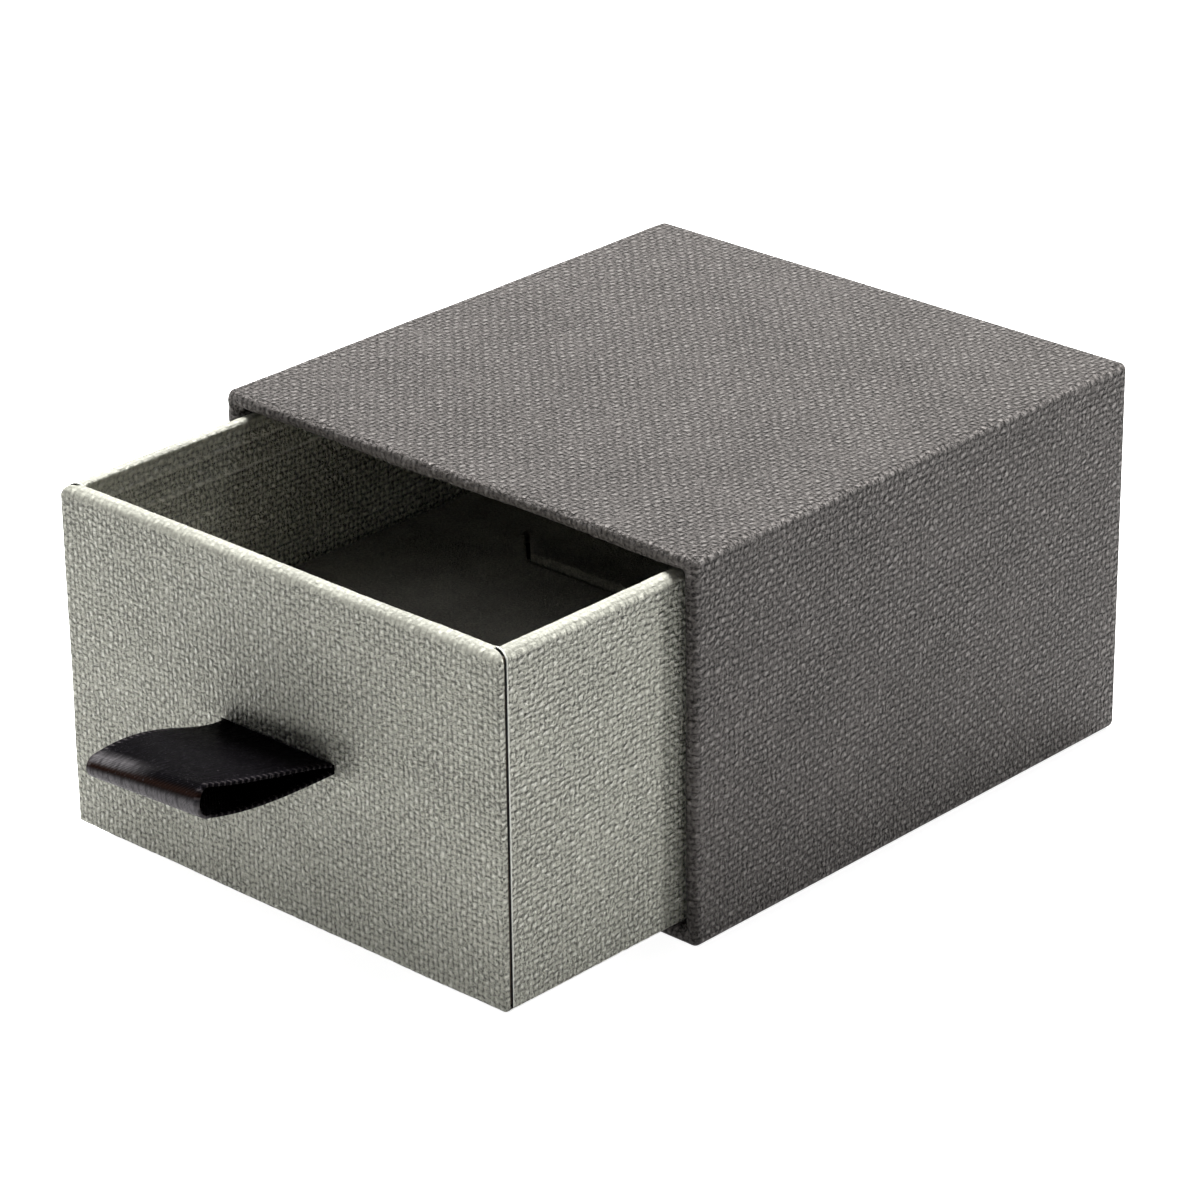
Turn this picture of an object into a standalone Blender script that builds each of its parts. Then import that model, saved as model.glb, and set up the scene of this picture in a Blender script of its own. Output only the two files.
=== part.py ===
"""Sliding drawer gift box.

A sleeve of board pasted over with linen-embossed paper, a drawer of the same make that slides in
it, a velvet-covered pad in the drawer and a loop of satin ribbon to pull it by. Lengths are in
metres and +Z is up. The origin is the middle of the sleeve's underside, the sleeve's mouth faces
-Y, and the drawer stands part of the way out.
"""

import math

import bmesh
import bpy
from mathutils import Vector

MM = 0.001

# Papers, board and glue lines
PAPER = 0.2 * MM
GLUE = 0.05 * MM
STAY_TAPE = 0.1 * MM
BOARD = 1.0 * MM

# Sleeve
SLEEVE_WIDTH = 62.0 * MM
SLEEVE_DEPTH = 64.5 * MM
SLEEVE_HEIGHT = 40.2 * MM
SLEEVE_EDGE_ROUND = 0.8 * MM
SLEEVE_TURN_IN = 12.0 * MM

# Running clearances of the drawer in the sleeve
RUN_SIDE = 0.4 * MM
RUN_BELOW = 0.55 * MM
RUN_ABOVE = 0.35 * MM
RUN_BACK = 0.3 * MM

# Drawer
PULLED_OUT = 23.5 * MM
DRAWER_EDGE_ROUND = 0.55 * MM

# Folds shared by both covering papers
RIM_ROUND = 0.45 * MM
INNER_CORNER_ROUND = 0.3 * MM
FLAP = 9.0 * MM
END_SHEET_MARGIN = 2.0 * MM
STAY_LEG = 8.0 * MM

# Ribbon and its slot
RIBBON_WIDTH = 15.0 * MM
RIBBON_THICKNESS = 0.3 * MM
RIBBON_LAYER_GAP = 0.15 * MM
SLOT_PLAY = 0.125 * MM
SLOT_UP = 17.65 * MM
TAIL_WALL_GAP = 0.1 * MM
TAIL_BEND = 0.15 * MM
TAIL_LENGTH = 11.0 * MM
FOLD_OUT = 15.4 * MM
FOLD_UP_FAR = 1.2 * MM
FOLD_UP_NEAR = 2.6 * MM
FOLD_ROUND_FAR = 1.3 * MM
FOLD_ROUND_NEAR = 1.55 * MM
UPPER_BULGE_FAR = 1.3 * MM
UPPER_BULGE_NEAR = 0.25 * MM
LOWER_SAG_FAR = 0.5 * MM
LOWER_SAG_NEAR = 1.1 * MM

# Patch that holds the ribbon's tails
PATCH_THICKNESS = 0.1 * MM
PATCH_SIDE = 3.0 * MM
PATCH_HEIGHT = 8.0 * MM
PATCH_DROP = 2.2 * MM

# Pad
PAD_HEIGHT = 16.6 * MM
PAD_REST_GAP = 0.3 * MM
PAD_PLAY = 0.3 * MM
TAIL_ROOM = 1.3 * MM
PAD_CORNER_ROUND = 1.5 * MM
PAD_TOP_ROUND = 1.2 * MM
PAD_CROWN = 0.4 * MM
PAD_CROWN_RUN = 7.0 * MM
PAD_WAIST = 0.25 * MM
COVER_THICKNESS = 0.5 * MM
COVER_GAP = 0.1 * MM

# Tongue cut in the pad
TONGUE_FRONT = 18.4 * MM
TONGUE_SIDE = 7.2 * MM
TONGUE_SPLAY = math.radians(45)
TONGUE_FROM_REAR = 16.8 * MM
TONGUE_CUT_WIDTH = 0.45 * MM
TONGUE_CUT_DEPTH = 4.0 * MM

CUT_OVERRUN = 2.0 * MM
EASE_LIMIT_SHARE = 0.45
CROWN_HALF_SHARE = 0.75
THIRD_SHARE = 1 / 3
ROUND_SEGMENTS = 3
FOLD_SEGMENTS = 8
RUN_SEGMENTS = 9
RIBBON_COLUMNS = 6

# Layers that follow from the sizes above
SKIN = PAPER + GLUE + STAY_TAPE + GLUE
WALL = SKIN + BOARD + GLUE + PAPER
UNDERLAY = PAPER + GLUE
MOUTH_Y = -SLEEVE_DEPTH / 2
BACK_Y = SLEEVE_DEPTH / 2 - UNDERLAY
SLEEVE_MID_Z = (SLEEVE_HEIGHT + UNDERLAY) / 2

DRAWER_WIDTH = SLEEVE_WIDTH - 2 * WALL - 2 * RUN_SIDE
DRAWER_DEPTH = SLEEVE_DEPTH - UNDERLAY - WALL - RUN_BACK
DRAWER_BOTTOM = UNDERLAY + WALL + RUN_BELOW
DRAWER_HEIGHT = SLEEVE_HEIGHT - WALL - RUN_ABOVE - DRAWER_BOTTOM
DRAWER_FLOOR = UNDERLAY + BOARD
LINED_FLOOR = DRAWER_FLOOR + GLUE + PAPER

SLOT_HALF = RIBBON_LAYER_GAP / 2 + RIBBON_THICKNESS + SLOT_PLAY
LAYER_UP = (RIBBON_LAYER_GAP + RIBBON_THICKNESS) / 2
NEAR_TAIL_IN = WALL + TAIL_WALL_GAP + RIBBON_THICKNESS / 2
FAR_TAIL_IN = NEAR_TAIL_IN + RIBBON_THICKNESS + RIBBON_LAYER_GAP
BEND_IN = NEAR_TAIL_IN - TAIL_BEND - RIBBON_THICKNESS / 2


def clear_scene():
    for obj in list(bpy.data.objects):
        bpy.data.objects.remove(obj, do_unlink=True)


def new_collection(name):
    made = bpy.data.collections.new(name)
    bpy.context.scene.collection.children.link(made)
    return made


def make_material(name, colour, roughness, metallic=0.0):
    made = bpy.data.materials.new(name)
    made.use_nodes = True
    shader = made.node_tree.nodes["Principled BSDF"]
    shader.inputs["Base Color"].default_value = (*colour, 1.0)
    shader.inputs["Roughness"].default_value = roughness
    shader.inputs["Metallic"].default_value = metallic
    return made


def add_object(name, mesh_maker, collection, parent, location=(0, 0, 0), material=None):
    """One named object from a bmesh, placed under its parent."""
    mesh = bpy.data.meshes.new(name)
    mesh_maker.to_mesh(mesh)
    mesh_maker.free()
    if material:
        mesh.materials.append(material)
    made = bpy.data.objects.new(name, mesh)
    collection.objects.link(made)
    made.parent = parent
    made.location = location
    return made


def add_empty(name, collection, location):
    made = bpy.data.objects.new(name, None)
    collection.objects.link(made)
    made.location = location
    return made


def thicken(obj, thickness, offset=-1.0):
    """Gives an open sheet its thickness, behind its visible side unless the offset says else."""
    modifier = obj.modifiers.new("Sheet thickness", "SOLIDIFY")
    modifier.thickness = thickness
    modifier.offset = offset
    modifier.use_even_offset = True


def cut(obj, cutter):
    modifier = obj.modifiers.new("Cut", "BOOLEAN")
    modifier.operation = "DIFFERENCE"
    modifier.solver = "EXACT"
    modifier.object = cutter


def arc(centre_a, centre_b, radius, start, end, segments=ROUND_SEGMENTS):
    """Points of an arc in any plane, from one angle to another."""
    points = []
    for step in range(segments + 1):
        angle = start + (end - start) * step / segments
        point = (centre_a + radius * math.cos(angle), centre_b + radius * math.sin(angle))
        points.append(point)
    return points


def rounded_outline(half_x, half_y, radius):
    """A rectangle with round corners, counter-clockwise seen from above."""
    points = []
    quarter = math.pi / 2
    signs = ((1, 1), (-1, 1), (-1, -1), (1, -1))
    for turn, (sign_x, sign_y) in enumerate(signs):
        centre_x = sign_x * (half_x - radius)
        centre_y = sign_y * (half_y - radius)
        points += arc(centre_x, centre_y, radius, turn * quarter, (turn + 1) * quarter)
    return points


def loft(half_x, half_y, stations, cap_first=False, cap_last=False):
    """A skin through rounded outlines; a station is its inset, its height and its corner round."""
    maker = bmesh.new()
    rings = []
    for inset, height, corner in stations:
        outline = rounded_outline(half_x - inset, half_y - inset, corner)
        rings.append([maker.verts.new((x, y, height)) for x, y in outline])
    for lower, upper in zip(rings, rings[1:]):
        for place in range(len(lower)):
            after = (place + 1) % len(lower)
            maker.faces.new((lower[place], lower[after], upper[after], upper[place]))
    if cap_first:
        maker.faces.new(reversed(rings[0]))
    if cap_last:
        maker.faces.new(rings[-1])
    return maker


def covering_stations(length, edge_round, turn_in, flap):
    """A covering paper from its closed end, up, over the rim and down inside.

    With a flap the paper is folded flat over the edge of the closed end, and without one it is
    whole across it.
    """
    quarter = math.pi / 2
    corner = edge_round
    least = min(INNER_CORNER_ROUND, edge_round)
    stations = [(flap, 0.0, least)] if flap else []
    for inset, height in arc(edge_round, edge_round, edge_round, 3 * quarter, 2 * quarter):
        stations.append((inset, height, max(corner - inset, least)))
    rim = arc(RIM_ROUND, length - RIM_ROUND, RIM_ROUND, 2 * quarter, quarter)
    rim += arc(WALL - RIM_ROUND, length - RIM_ROUND, RIM_ROUND, quarter, 0.0)
    for inset, height in rim:
        stations.append((inset, height, max(corner - inset, least)))
    stations.append((WALL, length - turn_in, least))
    return stations


def add_board(name, size, centre, edge_round, collection, parent, material):
    """A plate of greyboard whose edges are eased to the round of the paper over them."""
    maker = bmesh.new()
    bmesh.ops.create_cube(maker, size=1.0)
    bmesh.ops.scale(maker, vec=size, verts=maker.verts)
    made = add_object(name, maker, collection, parent, centre, material)
    ease = max(edge_round - SKIN, 0.0)
    modifier = made.modifiers.new("Eased edges", "BEVEL")
    modifier.width = min(ease, BOARD * EASE_LIMIT_SHARE)
    modifier.segments = 2
    modifier.limit_method = "ANGLE"
    return made


def add_flat_sheet(name, size_x, size_y, thickness, collection, parent, location, material):
    """A flat sheet that lies in its own XY plane, with its corners as cut."""
    maker = bmesh.new()
    bmesh.ops.create_cube(maker, size=1.0)
    bmesh.ops.scale(maker, vec=(size_x, size_y, thickness), verts=maker.verts)
    return add_object(name, maker, collection, parent, location, material)


def chain_sheet(points, along):
    """An open sheet: a chain of points extruded along a vector."""
    maker = bmesh.new()
    chain = [maker.verts.new(point) for point in points]
    edges = [maker.edges.new(pair) for pair in zip(chain, chain[1:])]
    made = bmesh.ops.extrude_edge_only(maker, edges=edges)
    moved = [item for item in made["geom"] if isinstance(item, bmesh.types.BMVert)]
    bmesh.ops.translate(maker, vec=along, verts=moved)
    return maker


def stay_points(half_x, half_y, sign_x, sign_y, edge_round):
    """The L of a corner stay seen along its edge, on the middle of the tape's thickness."""
    inset = PAPER + GLUE + STAY_TAPE / 2
    radius = max(edge_round - inset, STAY_TAPE)
    reach_x = half_x - inset
    reach_y = half_y - inset
    points = [(reach_x - STAY_LEG, reach_y)]
    points += reversed(arc(reach_x - radius, reach_y - radius, radius, 0.0, math.pi / 2))
    points.append((reach_x, reach_y - STAY_LEG))
    return [(sign_x * x, sign_y * y, 0.0) for x, y in points]


def add_stays(prefix, half_x, half_y, first, last, edge_round, names, collection, parent, tape):
    """The four tapes that hold the boards together at their corners, under the covering paper."""
    made = []
    for name, sign_x, sign_y in names:
        points = [
            (x, y, first) for x, y, _ in stay_points(half_x, half_y, sign_x, sign_y, edge_round)
        ]
        maker = chain_sheet(points, (0, 0, last - first))
        stay = add_object(f"{prefix}_stay_{name}", maker, collection, parent, (0, 0, 0), tape)
        thicken(stay, STAY_TAPE, offset=0.0)
        made.append(stay)
    return made


def add_sleeve_boards(collection, sleeve, board):
    """Top and bottom boards span the width, the sides stand between them, the back closes them."""
    width = SLEEVE_WIDTH - 2 * SKIN
    low = UNDERLAY + SKIN
    high = SLEEVE_HEIGHT - SKIN
    front = MOUTH_Y + SKIN
    rear = BACK_Y - SKIN
    wall_rear = rear - BOARD - GLUE
    depth = wall_rear - front
    mid_y = (front + wall_rear) / 2
    side_height = high - low - 2 * (BOARD + GLUE)
    shared = (SLEEVE_EDGE_ROUND, collection, sleeve, board)
    plate = (width, depth, BOARD)
    add_board("sleeve_top_board", plate, (0, mid_y, high - BOARD / 2), *shared)
    add_board("sleeve_bottom_board", plate, (0, mid_y, low + BOARD / 2), *shared)
    for name, sign in (("left", -1), ("right", 1)):
        centre = (sign * (width - BOARD) / 2, mid_y, (low + high) / 2)
        add_board(f"sleeve_{name}_board", (BOARD, depth, side_height), centre, *shared)
    centre = (0, rear - BOARD / 2, (low + high) / 2)
    add_board("sleeve_back_board", (width, BOARD, high - low), centre, *shared)


def add_sleeve_papers(collection, sleeve, linen, lining):
    """Covering paper, lining, and the sheets that finish the back and the underside."""
    half_x = SLEEVE_WIDTH / 2
    half_z = (SLEEVE_HEIGHT - UNDERLAY) / 2
    length = SLEEVE_DEPTH - UNDERLAY
    place = (0, BACK_Y, SLEEVE_MID_Z)
    turned = (math.pi / 2, 0, 0)

    stations = covering_stations(length, SLEEVE_EDGE_ROUND, SLEEVE_TURN_IN, FLAP)
    wrap = add_object("sleeve_wrap", loft(half_x, half_z, stations), collection, sleeve, place, linen)
    wrap.rotation_euler = turned
    thicken(wrap, PAPER)

    stations = [
        (WALL, length - SLEEVE_TURN_IN - GLUE, INNER_CORNER_ROUND),
        (WALL, WALL, INNER_CORNER_ROUND),
    ]
    maker = loft(half_x, half_z, stations, cap_last=True)
    liner = add_object("sleeve_liner", maker, collection, sleeve, place, lining)
    liner.rotation_euler = turned
    thicken(liner, PAPER)

    back = add_flat_sheet(
        "sleeve_back_sheet",
        SLEEVE_WIDTH - 2 * END_SHEET_MARGIN,
        SLEEVE_HEIGHT - UNDERLAY - 2 * END_SHEET_MARGIN,
        PAPER,
        collection,
        sleeve,
        (0, SLEEVE_DEPTH / 2 - PAPER / 2, SLEEVE_MID_Z),
        linen,
    )
    back.rotation_euler = turned
    add_flat_sheet(
        "sleeve_base_sheet",
        SLEEVE_WIDTH - 2 * END_SHEET_MARGIN,
        SLEEVE_DEPTH - 2 * END_SHEET_MARGIN,
        PAPER,
        collection,
        sleeve,
        (0, 0, PAPER / 2),
        linen,
    )


def add_sleeve_stays(collection, sleeve, tape):
    names = (
        ("top_left", -1, 1),
        ("top_right", 1, 1),
        ("bottom_left", -1, -1),
        ("bottom_right", 1, -1),
    )
    stays = add_stays(
        "sleeve",
        SLEEVE_WIDTH / 2,
        (SLEEVE_HEIGHT - UNDERLAY) / 2,
        max(SKIN, SLEEVE_EDGE_ROUND),
        SLEEVE_DEPTH - UNDERLAY - SKIN,
        SLEEVE_EDGE_ROUND,
        names,
        collection,
        sleeve,
        tape,
    )
    for stay in stays:
        stay.location = (0, BACK_Y, SLEEVE_MID_Z)
        stay.rotation_euler = (math.pi / 2, 0, 0)


def add_drawer_boards(collection, drawer, board, slot):
    """The walls stand on the base; front and back span the width, the sides stand between."""
    width = DRAWER_WIDTH - 2 * SKIN
    depth = DRAWER_DEPTH - 2 * SKIN
    mid_y = DRAWER_DEPTH / 2
    low = DRAWER_FLOOR + GLUE
    high = DRAWER_HEIGHT - SKIN
    mid_z = (low + high) / 2
    shared = (DRAWER_EDGE_ROUND, collection, drawer, board)
    centre = (0, mid_y, DRAWER_FLOOR - BOARD / 2)
    add_board("drawer_base_board", (width, depth, BOARD), centre, *shared)
    plate = (width, BOARD, high - low)
    front = add_board("drawer_front_board", plate, (0, SKIN + BOARD / 2, mid_z), *shared)
    cut(front, slot)
    centre = (0, DRAWER_DEPTH - SKIN - BOARD / 2, mid_z)
    add_board("drawer_back_board", plate, centre, *shared)
    side = (BOARD, depth - 2 * (BOARD + GLUE), high - low)
    for name, sign in (("left", -1), ("right", 1)):
        centre = (sign * (width - BOARD) / 2, mid_y, mid_z)
        add_board(f"drawer_{name}_board", side, centre, *shared)


def add_drawer_papers(collection, drawer, linen, lining, slot):
    """One blank of paper under the base, up the walls, over the rim and down to the lined floor."""
    half_x = DRAWER_WIDTH / 2
    half_y = DRAWER_DEPTH / 2
    turn_in = DRAWER_HEIGHT - LINED_FLOOR - GLUE
    stations = covering_stations(DRAWER_HEIGHT, DRAWER_EDGE_ROUND, turn_in, flap=0.0)
    maker = loft(half_x, half_y, stations, cap_first=True)
    wrap = add_object("drawer_wrap", maker, collection, drawer, (0, half_y, 0), linen)
    thicken(wrap, PAPER)
    cut(wrap, slot)
    inner_x = DRAWER_WIDTH - 2 * (WALL - PAPER + GLUE)
    inner_y = DRAWER_DEPTH - 2 * (WALL - PAPER + GLUE)
    place = (0, half_y, LINED_FLOOR - PAPER / 2)
    add_flat_sheet(
        "drawer_floor_liner", inner_x, inner_y, PAPER, collection, drawer, place, lining
    )


def add_drawer_stays(collection, drawer, tape):
    names = (
        ("front_left", -1, -1),
        ("front_right", 1, -1),
        ("rear_left", -1, 1),
        ("rear_right", 1, 1),
    )
    stays = add_stays(
        "drawer",
        DRAWER_WIDTH / 2,
        DRAWER_DEPTH / 2,
        max(SKIN, DRAWER_EDGE_ROUND),
        DRAWER_HEIGHT - SKIN,
        DRAWER_EDGE_ROUND,
        names,
        collection,
        drawer,
        tape,
    )
    for stay in stays:
        stay.location = (0, DRAWER_DEPTH / 2, 0)


def add_slot_cutter(cutters, drawer):
    """The flat hole in the drawer's front that both layers of ribbon pass through."""
    maker = bmesh.new()
    bmesh.ops.create_cube(maker, size=1.0)
    size = (RIBBON_WIDTH + 2 * SLOT_PLAY, WALL + 2 * CUT_OVERRUN, 2 * SLOT_HALF)
    bmesh.ops.scale(maker, vec=size, verts=maker.verts)
    made = add_object("ribbon_slot", maker, cutters, drawer, (0, WALL / 2, SLOT_UP))
    made.hide_render = True
    made.display_type = "WIRE"
    return made


def bezier(start, leave, arrive, end, share):
    """A point of a cubic curve between two points, drawn towards two others."""
    rest = 1 - share
    weights = (rest**3, 3 * rest * rest * share, 3 * rest * share * share, share**3)
    points = (start, leave, arrive, end)
    return tuple(sum(w * p[axis] for w, p in zip(weights, points)) for axis in (0, 1))


def mix(far, near, share):
    return far + (near - far) * share


def ribbon_path(share):
    """The ribbon's middle line, as (out, up) from the slot, at a share of its width.

    It climbs behind the front, comes out through the slot, bulges up to the fold, turns, sags
    back to the slot and goes down behind the front again. The loop stands higher at one edge.
    """
    rise = mix(FOLD_UP_FAR, FOLD_UP_NEAR, share)
    fold = mix(FOLD_ROUND_FAR, FOLD_ROUND_NEAR, share)
    bulge = mix(UPPER_BULGE_FAR, UPPER_BULGE_NEAR, share)
    sag = mix(LOWER_SAG_FAR, LOWER_SAG_NEAR, share)
    quarter = math.pi / 2
    path = [(-FAR_TAIL_IN, -TAIL_LENGTH)]
    bend = BEND_IN
    outer = FAR_TAIL_IN - bend
    inner = NEAR_TAIL_IN - bend
    path += arc(-bend, LAYER_UP - outer, outer, 2 * quarter, quarter, ROUND_SEGMENTS + 1)
    top = (FOLD_OUT, rise + fold)
    low = (FOLD_OUT, rise - fold)
    third = FOLD_OUT * THIRD_SHARE
    leave = (third, mix(LAYER_UP, top[1], THIRD_SHARE) + bulge)
    arrive = (2 * third, mix(LAYER_UP, top[1], 2 * THIRD_SHARE) + bulge)
    for step in range(RUN_SEGMENTS):
        path.append(bezier((0.0, LAYER_UP), leave, arrive, top, step / RUN_SEGMENTS))
    path += arc(FOLD_OUT, rise, fold, quarter, -quarter, FOLD_SEGMENTS)
    leave = (2 * third, mix(-LAYER_UP, low[1], 2 * THIRD_SHARE) - sag)
    arrive = (third, mix(-LAYER_UP, low[1], THIRD_SHARE) - sag * THIRD_SHARE)
    for step in range(1, RUN_SEGMENTS + 1):
        path.append(bezier(low, leave, arrive, (0.0, -LAYER_UP), step / RUN_SEGMENTS))
    path += arc(-bend, -LAYER_UP - inner, inner, quarter, 2 * quarter, ROUND_SEGMENTS + 1)
    path.append((-NEAR_TAIL_IN, -TAIL_LENGTH))
    return path


def add_ribbon(collection, drawer, satin):
    """One strip of ribbon folded into the pull, both its tails behind the drawer's front."""
    count = len(ribbon_path(0.0))
    maker = bmesh.new()
    bmesh.ops.create_grid(
        maker, x_segments=RIBBON_COLUMNS, y_segments=count - 1, size=0.5
    )
    paths = [ribbon_path(column / RIBBON_COLUMNS) for column in range(RIBBON_COLUMNS + 1)]
    for vert in maker.verts:
        column = round((vert.co.x + 0.5) * RIBBON_COLUMNS)
        row = round((vert.co.y + 0.5) * (count - 1))
        out, up = paths[column][row]
        vert.co = Vector((vert.co.x * RIBBON_WIDTH, -out, up))
    made = add_object("ribbon_pull", maker, collection, drawer, (0, 0, SLOT_UP), satin)
    thicken(made, RIBBON_THICKNESS, offset=0.0)


def add_patch(collection, drawer, tape):
    """A tape pasted over both tails and onto the inside of the front at either side of them."""
    wall_y = WALL + GLUE + PATCH_THICKNESS / 2
    over_y = FAR_TAIL_IN + RIBBON_THICKNESS / 2 + TAIL_WALL_GAP + PATCH_THICKNESS / 2
    half = RIBBON_WIDTH / 2 + TAIL_WALL_GAP + PATCH_THICKNESS
    ramp = over_y - wall_y
    points = [
        (-half - ramp - PATCH_SIDE, wall_y, 0.0),
        (-half - ramp, wall_y, 0.0),
        (-half, over_y, 0.0),
        (half, over_y, 0.0),
        (half + ramp, wall_y, 0.0),
        (half + ramp + PATCH_SIDE, wall_y, 0.0),
    ]
    maker = chain_sheet(points, (0, 0, PATCH_HEIGHT))
    place = (0, 0, SLOT_UP - PATCH_DROP - PATCH_HEIGHT)
    made = add_object("ribbon_patch", maker, collection, drawer, place, tape)
    thicken(made, PATCH_THICKNESS, offset=0.0)


def pad_stations(inset, low, top):
    """A pad's side and crowned top: drawn in at mid height and rounded over at the top."""
    corner = PAD_CORNER_ROUND - inset
    turn = PAD_TOP_ROUND - inset
    shoulder = top - PAD_CROWN - PAD_TOP_ROUND
    stations = [
        (inset, low, corner),
        (inset + PAD_WAIST, (low + shoulder) / 2, corner),
    ]
    quarter = math.pi / 2
    for run, height in arc(PAD_TOP_ROUND, shoulder, turn, 2 * quarter, quarter):
        stations.append((run, height, corner))
    rise = top - inset - PAD_CROWN
    stations.append((PAD_TOP_ROUND + PAD_CROWN_RUN / 2, rise + PAD_CROWN * CROWN_HALF_SHARE, corner))
    stations.append((PAD_TOP_ROUND + PAD_CROWN_RUN, rise + PAD_CROWN, corner))
    return stations


def add_tongue_cutter(cutters, drawer, rear_y, top):
    """The thin cut round a tongue in the pad: across the front, then splayed to the rear."""
    half = TONGUE_FRONT / 2
    side_x = TONGUE_SIDE * math.cos(TONGUE_SPLAY)
    side_y = TONGUE_SIDE * math.sin(TONGUE_SPLAY)
    points = [
        (-half - side_x, side_y, 0.0),
        (-half, 0.0, 0.0),
        (half, 0.0, 0.0),
        (half + side_x, side_y, 0.0),
    ]
    maker = chain_sheet(points, (0, 0, TONGUE_CUT_DEPTH + CUT_OVERRUN))
    place = (0, rear_y - TONGUE_FROM_REAR, top - TONGUE_CUT_DEPTH)
    made = add_object("tongue_cut", maker, cutters, drawer, place)
    thicken(made, TONGUE_CUT_WIDTH, offset=0.0)
    made.hide_render = True
    made.display_type = "WIRE"
    return made


def add_pad(collection, cutters, drawer, velvet, foam):
    """A block of foam under a velvet cover, both slit round the tongue."""
    half_x = DRAWER_WIDTH / 2 - WALL - PAD_PLAY
    front_y = WALL + TAIL_ROOM
    rear_y = DRAWER_DEPTH - WALL - PAD_PLAY
    half_y = (rear_y - front_y) / 2
    mid_y = (rear_y + front_y) / 2
    low = LINED_FLOOR + PAD_REST_GAP
    top = low + PAD_HEIGHT
    tongue = add_tongue_cutter(cutters, drawer, rear_y, top)
    place = (0, mid_y, 0)
    maker = loft(half_x, half_y, pad_stations(0.0, low, top), cap_last=True)
    cover = add_object("pad_cover", maker, collection, drawer, place, velvet)
    thicken(cover, COVER_THICKNESS)
    cut(cover, tongue)
    inset = COVER_THICKNESS + COVER_GAP
    stations = pad_stations(inset, low, top)
    maker = loft(half_x, half_y, stations, cap_first=True, cap_last=True)
    block = add_object("pad_foam", maker, collection, drawer, place, foam)
    cut(block, tongue)


def build():
    clear_scene()
    parts = new_collection("sliding_drawer_gift_box")
    cutters = new_collection("cutters")
    cutters.hide_render = True
    sleeve = add_empty("sleeve_frame", parts, (0, 0, 0))
    drawer_place = (0, MOUTH_Y - PULLED_OUT, DRAWER_BOTTOM)
    drawer = add_empty("drawer_slide", parts, drawer_place)

    dark_linen = make_material("dark_grey_linen_paper", (0.205, 0.193, 0.186), 0.62)
    silver_linen = make_material("silver_grey_linen_paper", (0.52, 0.52, 0.47), 0.5)
    lining = make_material("dark_lining_paper", (0.035, 0.033, 0.032), 0.75)
    board = make_material("greyboard", (0.30, 0.28, 0.25), 0.9)
    tape = make_material("kraft_stay_tape", (0.45, 0.31, 0.18), 0.8)
    satin = make_material("black_satin_ribbon", (0.012, 0.010, 0.012), 0.35)
    velvet = make_material("dark_velvet", (0.045, 0.039, 0.034), 0.95)
    foam = make_material("dark_foam", (0.04, 0.04, 0.042), 0.95)

    add_sleeve_boards(parts, sleeve, board)
    add_sleeve_papers(parts, sleeve, dark_linen, lining)
    add_sleeve_stays(parts, sleeve, tape)

    slot = add_slot_cutter(cutters, drawer)
    add_drawer_boards(parts, drawer, board, slot)
    add_drawer_papers(parts, drawer, silver_linen, lining, slot)
    add_drawer_stays(parts, drawer, tape)
    add_ribbon(parts, drawer, satin)
    add_patch(parts, drawer, tape)
    add_pad(parts, cutters, drawer, velvet, foam)


build()
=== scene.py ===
import math

import bmesh
import bpy
from mathutils import Matrix, Vector, noise


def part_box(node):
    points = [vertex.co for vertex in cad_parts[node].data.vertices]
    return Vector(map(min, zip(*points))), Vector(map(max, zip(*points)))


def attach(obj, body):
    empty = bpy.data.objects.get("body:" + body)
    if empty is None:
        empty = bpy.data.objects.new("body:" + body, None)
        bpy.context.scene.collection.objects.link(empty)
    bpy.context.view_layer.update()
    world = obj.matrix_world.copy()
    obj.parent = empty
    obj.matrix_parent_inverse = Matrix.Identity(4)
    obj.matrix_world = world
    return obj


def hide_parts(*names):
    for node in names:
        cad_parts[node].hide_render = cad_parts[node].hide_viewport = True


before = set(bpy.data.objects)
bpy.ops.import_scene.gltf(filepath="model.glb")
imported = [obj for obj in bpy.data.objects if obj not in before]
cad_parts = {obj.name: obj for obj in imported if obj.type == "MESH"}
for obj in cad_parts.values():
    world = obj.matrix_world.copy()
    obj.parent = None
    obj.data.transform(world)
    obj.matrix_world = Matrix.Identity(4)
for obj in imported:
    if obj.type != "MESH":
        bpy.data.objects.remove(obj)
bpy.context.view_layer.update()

MM = 0.001
QUARTER = math.pi / 2

# Camera, matched to the box's edges
CAMERA_PLACE = (300.21 * MM, -332.53 * MM, 220.12 * MM)
CAMERA_AZIMUTH = math.radians(43.461)
CAMERA_TILT = math.radians(24.875)
CAMERA_ROLL = math.radians(-0.773)
CAMERA_LENS = 146.85
SENSOR_WIDTH = 36.0
CAMERA_SHIFT = (0.02281, 0.02717)

# Round softboxes: name, azimuth, height and half width in degrees, power in watts
LAMP_AWAY = 0.7
LAMPS = (
    ("overhead_softbox", 122, 70, 13, 13.4),
    ("left_softbox", 225, 44, 13, 0.35),
    ("right_low_card", 50, 3.5, 3.4, 2.45),
    ("front_low_card", 262, 3.5, 3.4, 1.45),
)

# White floor: its half size, the white and the glow that are seen, and the grey that lights the box
FLOOR_REACH = 3.0
FLOOR_WHITE = 0.9
FLOOR_GLOW = 0.93
FLOOR_BOUNCE = 0.65

# Papers
PAPER = 0.2 * MM
WALL = 1.65 * MM
EDGE_STEPS = 6
CORNER_STEPS = 6
INNER_CORNER = 0.3 * MM
SLEEVE_EDGE = 0.75 * MM
SLEEVE_RIM = (0.75 * MM, 0.88 * MM)
SLEEVE_FLAP = 9.0 * MM
SLEEVE_TURN_IN = 12.0 * MM
SLEEVE_CUTS = 110
DRAWER_EDGE = 0.3 * MM
DRAWER_RIM = (1.05 * MM, 0.35 * MM)
DRAWER_CUTS = 80
RING_STEP = 2.0 * MM
LINEN_MAP = "paper"

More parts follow.
